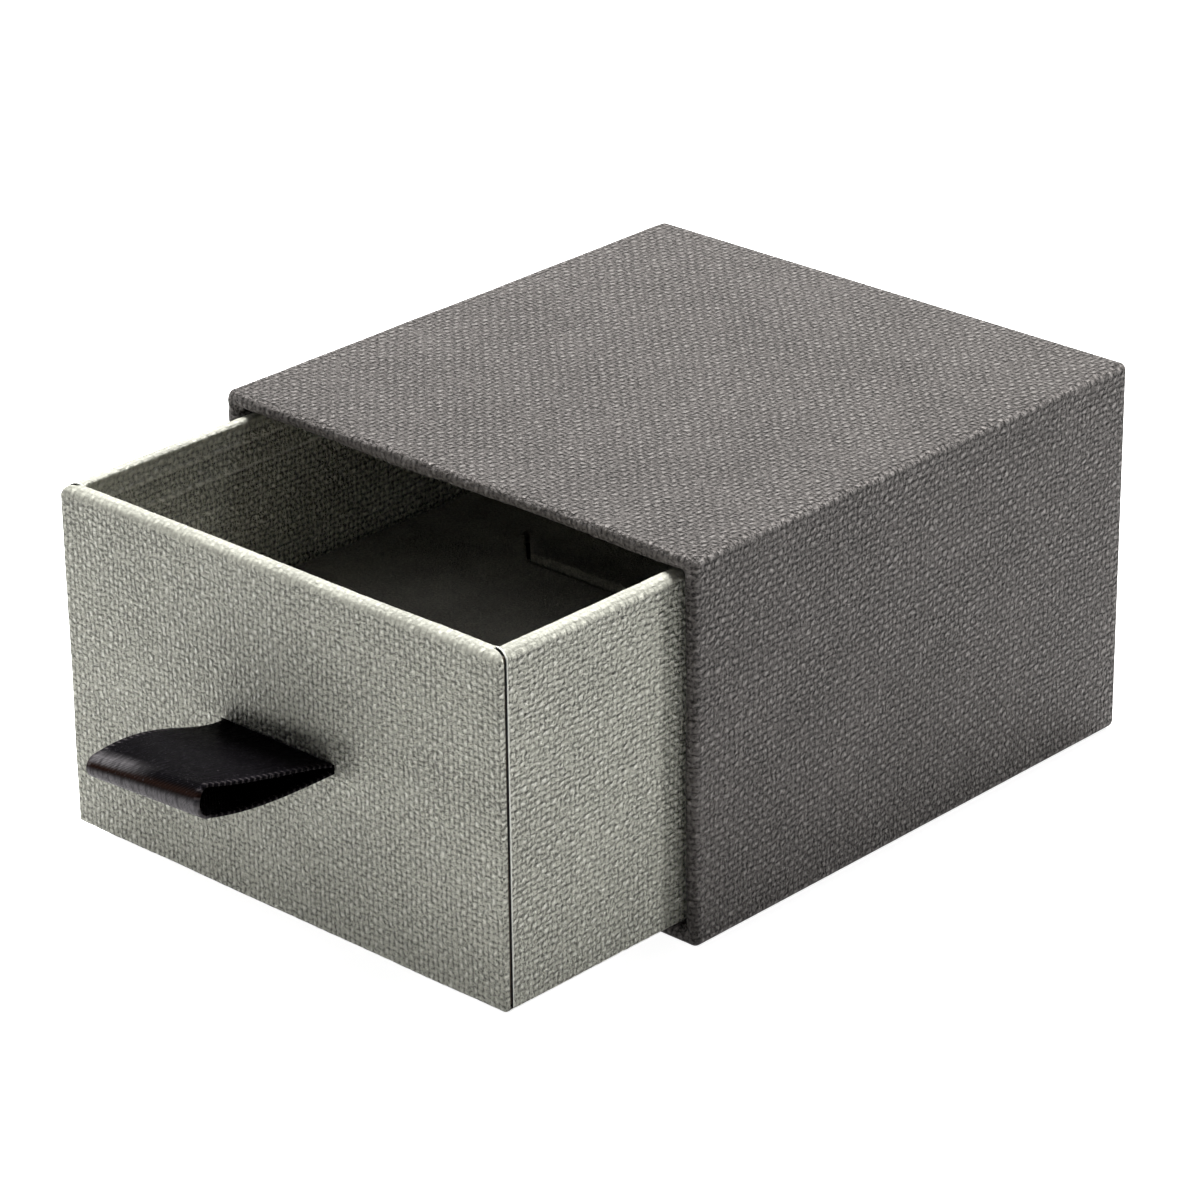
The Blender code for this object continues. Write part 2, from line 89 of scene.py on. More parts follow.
# Unevenness of the papers: a slow wave over a face, and the threads' own roughness
WAVE_REACH = 11.0 * MM
WAVE_SIZE = 0.07 * MM
THREAD_REACH = 0.8 * MM
THREAD_SIZE = 0.035 * MM
LIP_RUFFLE = 2.6

# Small bumps in the sleeve's lip: place across, reach and rise
LIP_BUMPS = (
    (19.8 * MM, 1.1 * MM, 0.34 * MM),
    (12.6 * MM, 0.7 * MM, 0.16 * MM),
    (-9.0 * MM, 0.8 * MM, 0.12 * MM),
)

# Seams where the drawer's four flaps of paper meet
SEAM_BACK = 0.78 * MM
SEAM_BACK_INSIDE = 1.2 * MM
SEAM_HALF = 0.16 * MM
SEAM_DEPTH = 0.3 * MM
RAW_EDGE = 0.16 * MM
RAW_EDGE_RISE = 0.04 * MM

# Weave embossed in the papers; threads wander by a share of their own pitch
DRAWER_THREAD = 0.64 * MM
SLEEVE_THREAD = 0.67 * MM
PAPER_RELIEF = 0.55 * MM
WANDER = 1.6
WANDER_SCALE = 420.0
NUB_SCALE = 3200.0
CLOUD_SCALE = 90.0
CLOUD_SHARE = 0.25

# Where the paper is pressed over a rim: the level it is flattened to, how fully, and how much darker
PRESSED_LEVEL = 0.36
PRESSED_SHARE = 0.85
PRESSED_DARKER = 0.19
SLEEVE_PRESSED = 0.4

# Heavier threads, by their place on the drawer's flat blank
SLUB_ROWS = (-68.04 * MM, -70.64 * MM)
SLUB_HALF = 0.45 * MM
SLUB_BEAD = 1.25 * MM

# Tones of a paper: the pits of its weave, in painted shade, its threads, and their pale tops, partly wear
# and partly painted highlight
SLEEVE_TONES = ((0.040, 0.037, 0.0345), (0.166, 0.153, 0.145), (0.31, 0.288, 0.273))
SLEEVE_GRAIN = 2.0
SLEEVE_GLOSS = 0.12
DRAWER_TONES = ((0.18, 0.18, 0.152), (0.585, 0.582, 0.50), (0.88, 0.876, 0.775))
DRAWER_GRAIN = 1.6
DRAWER_GLOSS = 0.3

# Plain stocks: colour, its spread, roughness, scale of the fibres and their relief.
# The tape is darker than kraft is, with painted shade, because it only shows as the dark line in an open
# seam.
LINING = ((0.035, 0.033, 0.032), 0.25, 0.75, 1500.0, 0.03 * MM)
GREYBOARD = ((0.30, 0.28, 0.25), 0.25, 0.9, 900.0, 0.05 * MM)
STAY_TAPE_PAINTED_SHADE = ((0.09, 0.065, 0.045), 0.2, 0.8, 1300.0, 0.03 * MM)
FOAM = ((0.04, 0.04, 0.042), 0.4, 0.95, 2600.0, 0.2 * MM)
# The open seam is near-black: painted shade in the groove.
SEAM_PAINTED_SHADE = ((0.004, 0.003, 0.003), 0.3, 0.95, 2000.0, 0.02 * MM)
CUT_EDGE = ((0.72, 0.72, 0.66), 0.1, 0.7, 3000.0, 0.02 * MM)

# Ribbon: corners of its curves as (out, up) from the slot, in mm, at its far and its near edge
RIBBON_WIDTH = 15.0 * MM
RIBBON_THICKNESS = 0.3 * MM
SLOT_UP = 17.65 * MM
SLOT_HALF = 0.5 * MM
SLOT_PLAY = 0.125 * MM
BEND_IN = 1.6 * MM
NEAR_TAIL_IN = 1.9 * MM
FAR_TAIL_IN = 2.35 * MM
TAIL_LENGTH = 11.0 * MM
UPPER_RUN = (
    ((0.0, 0.05), (4.2, -0.05), (8.5, 3.6), (15.7, 2.36)),
    ((0.0, 0.3), (1.2, 1.1), (9.5, 2.2), (15.4, 4.15)),
)
FOLD = (
    ((15.7, 2.36), (16.95, 2.2), (17.2, 0.75), (15.5, 0.15)),
    ((15.4, 4.15), (16.9, 4.6), (17.5, 1.05), (15.4, 1.05)),
)
LOWER_RUN = (
    ((15.5, 0.15), (10.3, -0.75), (5.1, -0.5), (0.0, -0.32)),
    ((15.4, 1.05), (10.3, -0.48), (4.2, -0.35), (0.0, -0.35)),
)
RIBBON_COLUMNS = 40
RUN_STEPS = 36
FOLD_STEPS = 20
TAIL_STEPS = 10
CREASE_SHARE = 0.35
CREASE_HALF = 0.3 * MM

# Satin. Its IOR is below a real fabric's, so that its top doesn't mirror the white surroundings,
# and part of its sheen is painted: a paler colour laid on the fold and, more weakly, above the crease.
SATIN_IOR = 1.035
SATIN_RELIEF = 0.04 * MM
SATIN_FLOAT = 0.36 * MM
SATIN_TONES = ((0.001, 0.001, 0.001), (0.007, 0.006, 0.008))
PAINTED_SHEEN_TONE = (0.125, 0.118, 0.123)
PAINTED_SHEEN_ABOVE = 0.8
CREASE_TONE = (0.020, 0.009, 0.006)
PAINTED_GLINT_TONE = (0.05, 0.047, 0.052)
SELVEDGE_START = 0.7 * MM
SELVEDGE_FULL = 0.45 * MM
SELVEDGE_BEAD = 0.75 * MM
SELVEDGE_HIGHLIGHT_TONE = (0.10, 0.09, 0.09)

# Velvet
VELVET_TONES = ((0.15, 0.142, 0.13), (0.42, 0.40, 0.365))
VELVET_RELIEF = 0.3 * MM
TUFT_SCALE = 4200.0
BRUSH_SCALE = 120.0

# Pad
PAD_CORNER = 1.5 * MM
PAD_ROUND = 1.2 * MM
PAD_CROWN = 0.4 * MM
PAD_LIFT = 0.8 * MM
PAD_CROWN_RUN = 7.0 * MM
PAD_GRID = 0.6 * MM
PAD_CUTS = 60
TONGUE_FRONT = 18.4 * MM
TONGUE_SIDE = 7.2 * MM
TONGUE_FROM_REAR = 16.8 * MM
TONGUE_CUT = 0.45 * MM
TONGUE_DEPTH = 3.0 * MM
TONGUE_RISE = 0.7 * MM
TONGUE_RISE_RUN = 6.5 * MM
PAD_SOFT_REACH = 6.0 * MM
PAD_SOFT_SIZE = 0.12 * MM
PAD_PILE_REACH = 0.9 * MM
PAD_PILE_SIZE = 0.04 * MM


def new_material(name):
    material = bpy.data.materials.new(name)
    material.use_nodes = True
    tree = material.node_tree
    return material, tree, tree.nodes["Principled BSDF"]


def put(tree, kind, inputs=(), **settings):
    """One node with its settings; an input is a value or another node's socket."""
    node = tree.nodes.new("ShaderNode" + kind)
    for name, value in settings.items():
        setattr(node, name, value)
    for key, value in dict(inputs).items():
        if isinstance(value, bpy.types.NodeSocket):
            tree.links.new(value, node.inputs[key])
        else:
            node.inputs[key].default_value = value
    return node


def calc(tree, operation, *values):
    node = put(tree, "Math", enumerate(values), operation=operation)
    return node.outputs[0]


def ramp(tree, value, low, high, start=0.0, end=1.0):
    """A smooth step from start to end, as the value goes from low to high."""
    inputs = {"Value": value, "From Min": low, "From Max": high, "To Min": start, "To Max": end}
    return put(tree, "MapRange", inputs, interpolation_type="SMOOTHSTEP").outputs["Result"]


def blend_colours(tree, share, first, second):
    """Mixes two colours, each a tuple or another node's socket."""
    node = put(tree, "Mix", data_type="RGBA")
    for index, value in ((0, share), (6, first), (7, second)):
        if isinstance(value, bpy.types.NodeSocket):
            tree.links.new(value, node.inputs[index])
        else:
            node.inputs[index].default_value = value if index == 0 else (*value, 1.0)
    return node.outputs[2]


def noise_at(tree, place, scale, detail=2.0, roughness=0.5):
    inputs = {"Vector": place, "Scale": scale, "Detail": detail, "Roughness": roughness}
    return put(tree, "TexNoise", inputs).outputs["Fac"]


def flat_place(tree, turned=None):
    """Where a point lies on the paper: its own map, or the flat sheet's place on the object."""
    if turned is None:
        return put(tree, "UVMap", uv_map=LINEN_MAP).outputs["UV"]
    place = put(tree, "TexCoord").outputs["Object"]
    return put(tree, "Mapping", {"Vector": place, "Rotation": turned}).outputs["Vector"]


def weave(tree, place, pitch):
    """Height of a plain weave with uneven threads: those along the second axis stand higher."""
    wander = put(tree, "TexNoise", {"Vector": place, "Scale": WANDER_SCALE, "Detail": 3.0, "Roughness": 0.6})
    drift = put(tree, "SeparateXYZ", {"Vector": wander.outputs["Color"]})
    axes = put(tree, "SeparateXYZ", {"Vector": place})
    counts = []
    for axis in (0, 1):
        shift = calc(tree, "MULTIPLY_ADD", drift.outputs[axis], WANDER, -WANDER / 2)
        counts.append(calc(tree, "MULTIPLY_ADD", axes.outputs[axis], 1 / pitch, shift))
    cells = [calc(tree, "FLOOR", count) for count in counts]
    waves = []
    for count, cell in zip(counts, cells):
        offset = calc(tree, "SUBTRACT", calc(tree, "SUBTRACT", count, cell), 0.5)
        waves.append(calc(tree, "COSINE", calc(tree, "MULTIPLY", offset, math.pi)))
    odd = calc(tree, "FLOORED_MODULO", calc(tree, "ADD", *cells), 2.0)
    sign = calc(tree, "MULTIPLY_ADD", odd, -2.0, 1.0)
    cell_place = put(tree, "CombineXYZ", enumerate(cells)).outputs["Vector"]
    lot = put(tree, "TexWhiteNoise", {"Vector": cell_place}, noise_dimensions="2D").outputs["Value"]
    lift = calc(tree, "MULTIPLY", sign, calc(tree, "MULTIPLY_ADD", lot, 0.5, 0.35))
    swells = []
    for index, (low, spread) in enumerate(((0.75, 0.8), (0.35, 0.35))):
        thread, along = cells[index], counts[1 - index]
        stretched = {0: calc(tree, "MULTIPLY", thread, 1.7), 1: calc(tree, "MULTIPLY", along, 0.11)}
        slub = noise_at(tree, put(tree, "CombineXYZ", stretched).outputs["Vector"], 1.0, 1.0)
        swells.append(calc(tree, "MULTIPLY_ADD", ramp(tree, slub, 0.4, 0.85), spread, low))
    warp_rise = calc(tree, "MULTIPLY_ADD", calc(tree, "MULTIPLY", lift, waves[1]), 1.0, 0.5)
    weft_rise = calc(tree, "MULTIPLY_ADD", calc(tree, "MULTIPLY", lift, waves[0]), -1.0, 0.5)
    warp = calc(tree, "MULTIPLY", calc(tree, "MULTIPLY", warp_rise, waves[0]), swells[0])
    weft = calc(tree, "MULTIPLY", calc(tree, "MULTIPLY", weft_rise, waves[1]), swells[1])
    return calc(tree, "SMOOTH_MAX", warp, weft, 0.12)


def thick_threads(tree, place, height):
    """Two heavier threads near the top of the drawer's left wall, on its inside."""
    axes = put(tree, "SeparateXYZ", {"Vector": place})
    beads = calc(tree, "SINE", calc(tree, "MULTIPLY", axes.outputs["Y"], math.tau / SLUB_BEAD))
    raised = calc(tree, "MULTIPLY_ADD", beads, 0.35, 0.75)
    for row in SLUB_ROWS:
        away = calc(tree, "ABSOLUTE", calc(tree, "SUBTRACT", axes.outputs["X"], row))
        band = ramp(tree, away, 0.0, SLUB_HALF, 1.0, 0.0)
        height = calc(tree, "MULTIPLY_ADD", band, calc(tree, "MULTIPLY", raised, 0.9), height)
    return height


def linen_paper(name, pitch, tones, grain, gloss, turned=None, slubs=False):
    """Linen-embossed paper: woven relief, pale thread tops that are partly painted highlight, dark pits of
    painted shade and a rough fibre grain.
    """
    material, tree, shader = new_material(name)
    place = flat_place(tree, turned)
    height = weave(tree, place, pitch)
    if slubs:
        height = thick_threads(tree, place, height)
    nubs = noise_at(tree, place, NUB_SCALE, 2.0, 0.65)
    cloud = noise_at(tree, place, CLOUD_SCALE, 3.0, 0.55)
    rough_height = calc(tree, "MULTIPLY_ADD", calc(tree, "SUBTRACT", nubs, 0.5), grain, height)
    if turned is None:
        pressed = put(tree, "Attribute", attribute_name="pressed").outputs["Fac"]
        flattened = calc(tree, "MULTIPLY", calc(tree, "SUBTRACT", PRESSED_LEVEL, rough_height), pressed)
        rough_height = calc(tree, "MULTIPLY_ADD", flattened, PRESSED_SHARE, rough_height)
    tone = calc(tree, "MULTIPLY_ADD", calc(tree, "SUBTRACT", cloud, 0.5), CLOUD_SHARE, rough_height)
    if turned is None:
        tone = calc(tree, "MULTIPLY_ADD", pressed, -PRESSED_DARKER, tone)
    # Colour follows the height: painted shade in the pits, a partly painted highlight on the tops.
    painted_pit_shade = blend_colours(tree, ramp(tree, tone, -0.05, 0.4), tones[0], tones[1])
    colour = blend_colours(tree, ramp(tree, tone, 0.5, 0.95), painted_pit_shade, tones[2])
    tree.links.new(colour, shader.inputs["Base Color"])
    tree.links.new(ramp(tree, rough_height, 0.2, 1.0, 0.6, 0.4), shader.inputs["Roughness"])
    shader.inputs["Specular IOR Level"].default_value = gloss
    bump = put(tree, "Bump", {"Height": rough_height, "Strength": 1.0, "Distance": PAPER_RELIEF})
    tree.links.new(bump.outputs["Normal"], shader.inputs["Normal"])
    return material


def plain_stock(name, colour, spread, roughness, scale, relief):
    """Board, tape, lining or foam: a mottled colour and a fine uneven surface."""
    material, tree, shader = new_material(name)
    place = put(tree, "TexCoord").outputs["Object"]
    fibres = noise_at(tree, place, scale, 4.0, 0.65)
    low = tuple(value * (1 - spread) for value in colour)
    high = tuple(value * (1 + spread) for value in colour)
    tree.links.new(
        blend_colours(tree, ramp(tree, fibres, 0.3, 0.7), low, high), shader.inputs["Base Color"]
    )
    shader.inputs["Roughness"].default_value = roughness
    bump = put(tree, "Bump", {"Height": fibres, "Strength": 0.6, "Distance": relief})
    tree.links.new(bump.outputs["Normal"], shader.inputs["Normal"])
    return material


def satin(name):
    """Black satin ribbon: fine slanted floats, a narrow sheen that is partly painted, painted glints, a
    brown crease and beaded selvedges with painted highlights.
    """
    material, tree, shader = new_material(name)
    place = put(tree, "UVMap", uv_map="ribbon").outputs["UV"]
    axes = put(tree, "SeparateXYZ", {"Vector": place})
    across, along = axes.outputs["X"], axes.outputs["Y"]
    slant = calc(tree, "MULTIPLY_ADD", across, 0.8, along)
    floats = calc(tree, "SINE", calc(tree, "MULTIPLY", slant, math.tau / SATIN_FLOAT))
    stretched = put(tree, "Mapping", {"Vector": place, "Scale": (2600.0, 500.0, 1.0)}).outputs["Vector"]
    uneven = noise_at(tree, stretched, 1.0, 3.0, 0.6)
    height = calc(tree, "MULTIPLY_ADD", uneven, 0.9, calc(tree, "MULTIPLY", floats, 0.5))
    edge = calc(tree, "ABSOLUTE", across)
    selvedge = ramp(tree, edge, RIBBON_WIDTH / 2 - SELVEDGE_START, RIBBON_WIDTH / 2 - SELVEDGE_FULL)
    beads = calc(tree, "SINE", calc(tree, "MULTIPLY", along, math.tau / SELVEDGE_BEAD))
    bead_height = calc(tree, "MULTIPLY", calc(tree, "MULTIPLY_ADD", beads, 0.9, 0.9), selvedge)
    height = calc(tree, "ADD", height, bead_height)
    colour = blend_colours(tree, ramp(tree, height, 0.0, 1.3), *SATIN_TONES)
    crease = put(tree, "Attribute", attribute_name="crease").outputs["Fac"]
    colour = blend_colours(tree, calc(tree, "MULTIPLY", crease, 0.8), colour, CREASE_TONE)
    # Painted sheen: a paler colour laid where the 'front' weight marks the fold.
    front = put(tree, "Attribute", attribute_name="front").outputs["Fac"]
    sheen = calc(tree, "MULTIPLY", front, ramp(tree, uneven, 0.35, 0.6, 0.45, 1.0))
    colour = blend_colours(tree, sheen, colour, PAINTED_SHEEN_TONE)
    # Painted glints: sparse pale specks standing for light caught by the threads.
    painted_glints = ramp(tree, noise_at(tree, place, 4300.0, 1.0), 0.66, 0.74)
    colour = blend_colours(tree, painted_glints, colour, PAINTED_GLINT_TONE)
    # Painted highlight: the tops of the selvedge beads are laid paler.
    painted_bead_highlight = ramp(tree, bead_height, 1.2, 1.8, 0.0, 0.4)
    colour = blend_colours(tree, painted_bead_highlight, colour, SELVEDGE_HIGHLIGHT_TONE)
    tree.links.new(colour, shader.inputs["Base Color"])
    tree.links.new(ramp(tree, uneven, 0.3, 0.7, 0.2, 0.3), shader.inputs["Roughness"])
    shader.inputs["IOR"].default_value = SATIN_IOR
    shader.inputs["Anisotropic"].default_value = 0.6
    tangent = put(tree, "Tangent", direction_type="UV_MAP", uv_map="ribbon")
    tree.links.new(tangent.outputs["Tangent"], shader.inputs["Tangent"])
    bump = put(tree, "Bump", {"Height": height, "Strength": 1.0, "Distance": SATIN_RELIEF})
    tree.links.new(bump.outputs["Normal"], shader.inputs["Normal"])
    return material


def velvet(name):
    """Short pile: tiny tufts, patches brushed one way or the other, and a dusty sheen."""
    material, tree, shader = new_material(name)
    place = put(tree, "TexCoord").outputs["Object"]
    tufts = noise_at(tree, place, TUFT_SCALE, 3.0, 0.7)
    brushed = noise_at(tree, place, BRUSH_SCALE, 3.0, 0.6)
    tone = calc(tree, "MULTIPLY_ADD", brushed, 0.35, calc(tree, "MULTIPLY", tufts, 0.75))
    colour = blend_colours(tree, ramp(tree, tone, 0.35, 0.75), *VELVET_TONES)
    tree.links.new(colour, shader.inputs["Base Color"])
    shader.inputs["Roughness"].default_value = 0.95
    shader.inputs["Specular IOR Level"].default_value = 0.1
    shader.inputs["Sheen Weight"].default_value = 0.25
    shader.inputs["Sheen Roughness"].default_value = 0.4
    bump = put(tree, "Bump", {"Height": tufts, "Strength": 1.0, "Distance": VELVET_RELIEF})
    tree.links.new(bump.outputs["Normal"], shader.inputs["Normal"])
    return material


def finish_piece(name, bm, material, smooth=True):
    """Puts a finished mesh in the scene, at the origin, with its material."""
    mesh = bpy.data.meshes.new(name)
    bm.to_mesh(mesh)
    bm.free()
    mesh.materials.append(material)
    for polygon in mesh.polygons:
        polygon.use_smooth = smooth
    piece = bpy.data.objects.new(name, mesh)
    bpy.context.scene.collection.objects.link(piece)
    return piece


def settle(value, half, corner, new_half, new_corner):
    """Moves one coordinate of a rounded rectangle to a rectangle of another size and round."""
    straight = half - corner
    if abs(value) <= straight:
        return value * (new_half - new_corner) / straight
    share = (abs(value) - straight) / corner
    return math.copysign(new_half - new_corner + share * new_corner, value)


class PaperSkin:
    """A covering drawn up from a rounded rectangle, ring by ring, with its paper's run."""

    def __init__(self, half_x, half_y, corner, cuts):
        self.half = (half_x, half_y)
        self.corner = corner
        self.bm = bmesh.new()
        bmesh.ops.create_grid(self.bm, x_segments=1, y_segments=1, size=1.0)
        bmesh.ops.scale(self.bm, vec=(half_x, half_y, 1.0), verts=self.bm.verts)
        bmesh.ops.bevel(
            self.bm,
            geom=self.bm.verts[:],
            offset=corner,
            offset_type="OFFSET",
            segments=CORNER_STEPS,
            profile=0.5,
            affect="VERTICES",
            material=-1,
        )
        long_sides = [edge for edge in self.bm.edges if edge.calc_length() > 4 * corner]
        bmesh.ops.subdivide_edges(self.bm, edges=long_sides, cuts=cuts)
        self.base = self.bm.faces[:][0]
        self.ring = list(self.base.verts)
        self.shape = [tuple(vert.co.xy) for vert in self.ring]
        self.run = {vert: 0.0 for vert in self.ring}
        self.number = {vert: index for index, vert in enumerate(self.ring)}

    def put_ring(self, inset, height, corner):
        half_x, half_y = self.half
        for vert, (x, y) in zip(self.ring, self.shape):
            vert.co = (
                settle(x, half_x, self.corner, half_x - inset, corner),
                settle(y, half_y, self.corner, half_y - inset, corner),
                height,
            )

    def draw_up(self, inset, height, corner, step):
        """Extrudes the last ring once; step is the paper's length between the two rings."""
        pairs = zip(self.ring, self.ring[1:] + self.ring[:1])
        edges = [self.bm.edges.get(pair) for pair in pairs]
        made = bmesh.ops.extrude_edge_only(self.bm, edges=edges)
        fresh = {item for item in made["geom"] if isinstance(item, bmesh.types.BMVert)}
        before = self.run[self.ring[0]]
        risen = []
        for vert in self.ring:
            risen.append(next(e.other_vert(vert) for e in vert.link_edges if e.other_vert(vert) in fresh))
        self.ring = risen
        self.put_ring(inset, height, corner)
        for index, vert in enumerate(risen):
            self.run[vert] = before + step
            self.number[vert] = index

    def draw_all(self, points, edge_round, least):
        """Draws the skin through its stations; its corners tighten as it turns inward."""
        previous = points[0]
        self.put_ring(previous[0], previous[1], max(edge_round - previous[0], least))
        for point in points[1:]:
            self.draw_up(point[0], point[1], max(edge_round - point[0], least), math.dist(point, previous))
            previous = point

    def wall_of(self, face):
        """The side that a face of the skin belongs to: 0 front, 1 right, 2 back, 3 left."""
        total = len(self.shape)
        numbers = sorted({self.number[vert] for vert in face.verts})
        first, last = numbers[0], numbers[-1]
        if last - first > 1:
            first, last = last, first
        x = (self.shape[first][0] + self.shape[last % total][0]) / 2
        y = (self.shape[first][1] + self.shape[last % total][1]) / 2
        if self.half[0] - abs(x) < self.half[1] - abs(y):
            return 1 if x > 0 else 3
        return 0 if y < 0 else 2


def quarter_turn(start, radii, steps):
    """Inset and height along a quarter of a rounding, from a wall into a flat end."""
    points = []
    for step in range(steps + 1):
        angle = QUARTER * step / steps
        points.append((start[0] + radii[0] * (1 - math.cos(angle)), start[1] + radii[1] * math.sin(angle)))
    return points


def wrap_stations(length, edge_round, rim, turn_in, flap):
    """Inset and height of each ring, from the closed end to the turned-in edge."""
    outer, inner = rim
    points = []
    if flap:
        points.append((flap, 0.0))
        points.append(((flap + edge_round) / 2, 0.0))
    lower = quarter_turn((0.0, edge_round), (edge_round, -edge_round), EDGE_STEPS)
    points += reversed(lower)
    straight = length - outer - edge_round
    count = round(straight / RING_STEP)
    points += [(0.0, edge_round + straight * step / count) for step in range(1, count)]
    points += quarter_turn((0.0, length - outer), (outer, outer), EDGE_STEPS)
    turned = quarter_turn((WALL, length - inner), (-inner, inner), EDGE_STEPS)
    points += reversed(turned)
    count = round(turn_in / RING_STEP)
    for step in range(1, count + 1):
        points.append((WALL, length - inner - (turn_in - inner) * step / count))
    return points


def outward(bm):
    """Turns the faces so that those of the closed end look down."""
    bmesh.ops.recalc_face_normals(bm, faces=bm.faces[:])
    bm.normal_update()
    lowest = min(bm.faces, key=lambda face: face.calc_center_median().z)
    if lowest.normal.z > 0:
        bmesh.ops.reverse_faces(bm, faces=bm.faces[:])


def map_drawer_blank(skin):
    """The drawer's paper lies flat as a cross: its base in the middle and four flaps round it."""
    layer = skin.bm.loops.layers.uv.new(LINEN_MAP)
    half_x, half_y = skin.half
    for face in skin.bm.faces:
        wall = None if face == skin.base else skin.wall_of(face)
        for loop in face.loops:
            x, y, _ = loop.vert.co
            run = skin.run[loop.vert]
            if wall == 0:
                place = (x, -half_y - run)
            elif wall == 2:
                place = (x, half_y + run)
            elif wall == 1:
                place = (half_x + run, y)
            elif wall == 3:
                place = (-half_x - run, y)
            else:
                place = (x, y)
            loop[layer].uv = place


def map_sleeve_wrap(skin):
    """The sleeve's paper goes once round the tube; its threads run from back to mouth."""
    layer = skin.bm.loops.layers.uv.new(LINEN_MAP)
    half_x, half_y = skin.half
    starts = (0.0, 2 * half_x, 2 * (half_x + half_y), 4 * half_x + 2 * half_y)
    for face in skin.bm.faces:
        wall = skin.wall_of(face)
        for loop in face.loops:
            x, y, _ = loop.vert.co
            way = (x + half_x, y + half_y, half_x - x, half_y - y)[wall]
            loop[layer].uv = (starts[wall] + way, skin.run[loop.vert])


def mark(bm, name, value_of):
    """Keeps a number from 0 to 1 on every point of the mesh, for its material."""
    layer = bm.verts.layers.float.new(name)
    for vert in bm.verts:
        vert[layer] = value_of(vert)


def ease(value, low, high):
    share = min(max((value - low) / (high - low), 0.0), 1.0)
    return share * share * (3 - 2 * share)


def ruffle(bm, weight_of):
    """Pasted paper is never dead flat: a slow wave, and the roughness of its threads."""
    bm.normal_update()
    moves = []
    for vert in bm.verts:
        slow = noise.noise(vert.co / WAVE_REACH) * WAVE_SIZE
        fine = noise.noise(vert.co / THREAD_REACH) * THREAD_SIZE
        moves.append((vert, vert.normal * (slow + fine) * weight_of(vert)))
    for vert, move in moves:
        vert.co += move


def bisect_near(bm, faces, place, normal):
    """Cuts some of the faces along a plane and leaves the others whole."""
    geom = set(faces)
    for face in faces:
        geom.update(face.edges)
        geom.update(face.verts)
    bmesh.ops.bisect_plane(bm, geom=list(geom), dist=1e-7, plane_co=place, plane_no=normal)


def sink_faces(bm, faces, depth):
    """Pushes a strip of faces straight into the surface and returns its new floor."""
    for face in faces:
        face.normal_update()
    inward = {}
    for face in faces:
        for vert in face.verts:
            inward.setdefault(tuple(vert.co), Vector())
            inward[tuple(vert.co)] -= face.normal
    made = bmesh.ops.extrude_face_region(bm, geom=faces)
    floor = [item for item in made["geom"] if isinstance(item, bmesh.types.BMFace)]
    for item in made["geom"]:
        if isinstance(item, bmesh.types.BMVert):
            item.co += inward[tuple(item.co)].normalized() * depth
    bmesh.ops.delete(bm, geom=[face for face in faces if face.is_valid], context="FACES")
    return floor


def press_seam(bm, outer, inner, near):
    """The butt of two flaps: a dark open line of painted shade, and the pale cut edge of the flap beside it.
    """
    along = (inner - outer).normalized()
    across = along.cross(Vector((0, 0, 1))).normalized()
    if across.y * outer.y > 0:
        across = -across
    for shift in (-SEAM_HALF, SEAM_HALF, SEAM_HALF + RAW_EDGE):
        bisect_near(bm, [face for face in bm.faces if near(face)], outer + across * shift, across)
    gap, raw = [], []
    for face in bm.faces:
        if near(face):
            away = (face.calc_center_median() - outer).dot(across)
            if abs(away) < SEAM_HALF:
                gap.append(face)
            elif SEAM_HALF < away < SEAM_HALF + RAW_EDGE:
                raw.append(face)
    bm.normal_update()
    for vert in {vert for face in raw for vert in face.verts}:
        vert.co += vert.normal * RAW_EDGE_RISE
    for face in raw:
        face.material_index = 2
    floor = set(sink_faces(bm, gap, SEAM_DEPTH))
    walls = {face for item in floor for edge in item.edges for face in edge.link_faces}
    # The groove's floor and walls take the near-black stock, as painted shade.
    for face in floor | walls:
        face.material_index = 1


def thicken(piece, thickness, offset=-1.0):
    """Gives a sheet its thickness: inwards, or to both sides with an offset of 0."""
    modifier = piece.modifiers.new("Thickness", "SOLIDIFY")
    modifier.thickness = thickness
    modifier.offset = offset


def cut_ribbon_slot(bm):
    """Opens the slot for the ribbon in both layers of the drawer's front paper."""
    half = RIBBON_WIDTH / 2 + SLOT_PLAY
    low, high = SLOT_UP - SLOT_HALF, SLOT_UP + SLOT_HALF

    def near_slot(face):
        centre = face.calc_center_median()
        wide = abs(centre.x) < half + 4 * MM
        return wide and abs(face.normal.y) > 0.99 and centre.y < 0 and abs(centre.z - SLOT_UP) < 4 * MM

    for x in (half, -half):
        bisect_near(bm, [face for face in bm.faces if near_slot(face)], Vector((x, 0, 0)), Vector((1, 0, 0)))
    for z in (low, high):
        bisect_near(bm, [face for face in bm.faces if near_slot(face)], Vector((0, 0, z)), Vector((0, 0, 1)))
    inside = []
    for face in bm.faces:
        centre = face.calc_center_median()
        if near_slot(face) and abs(centre.x) < half and low < centre.z < high:
            inside.append(face)
    bmesh.ops.delete(bm, geom=inside, context="FACES")


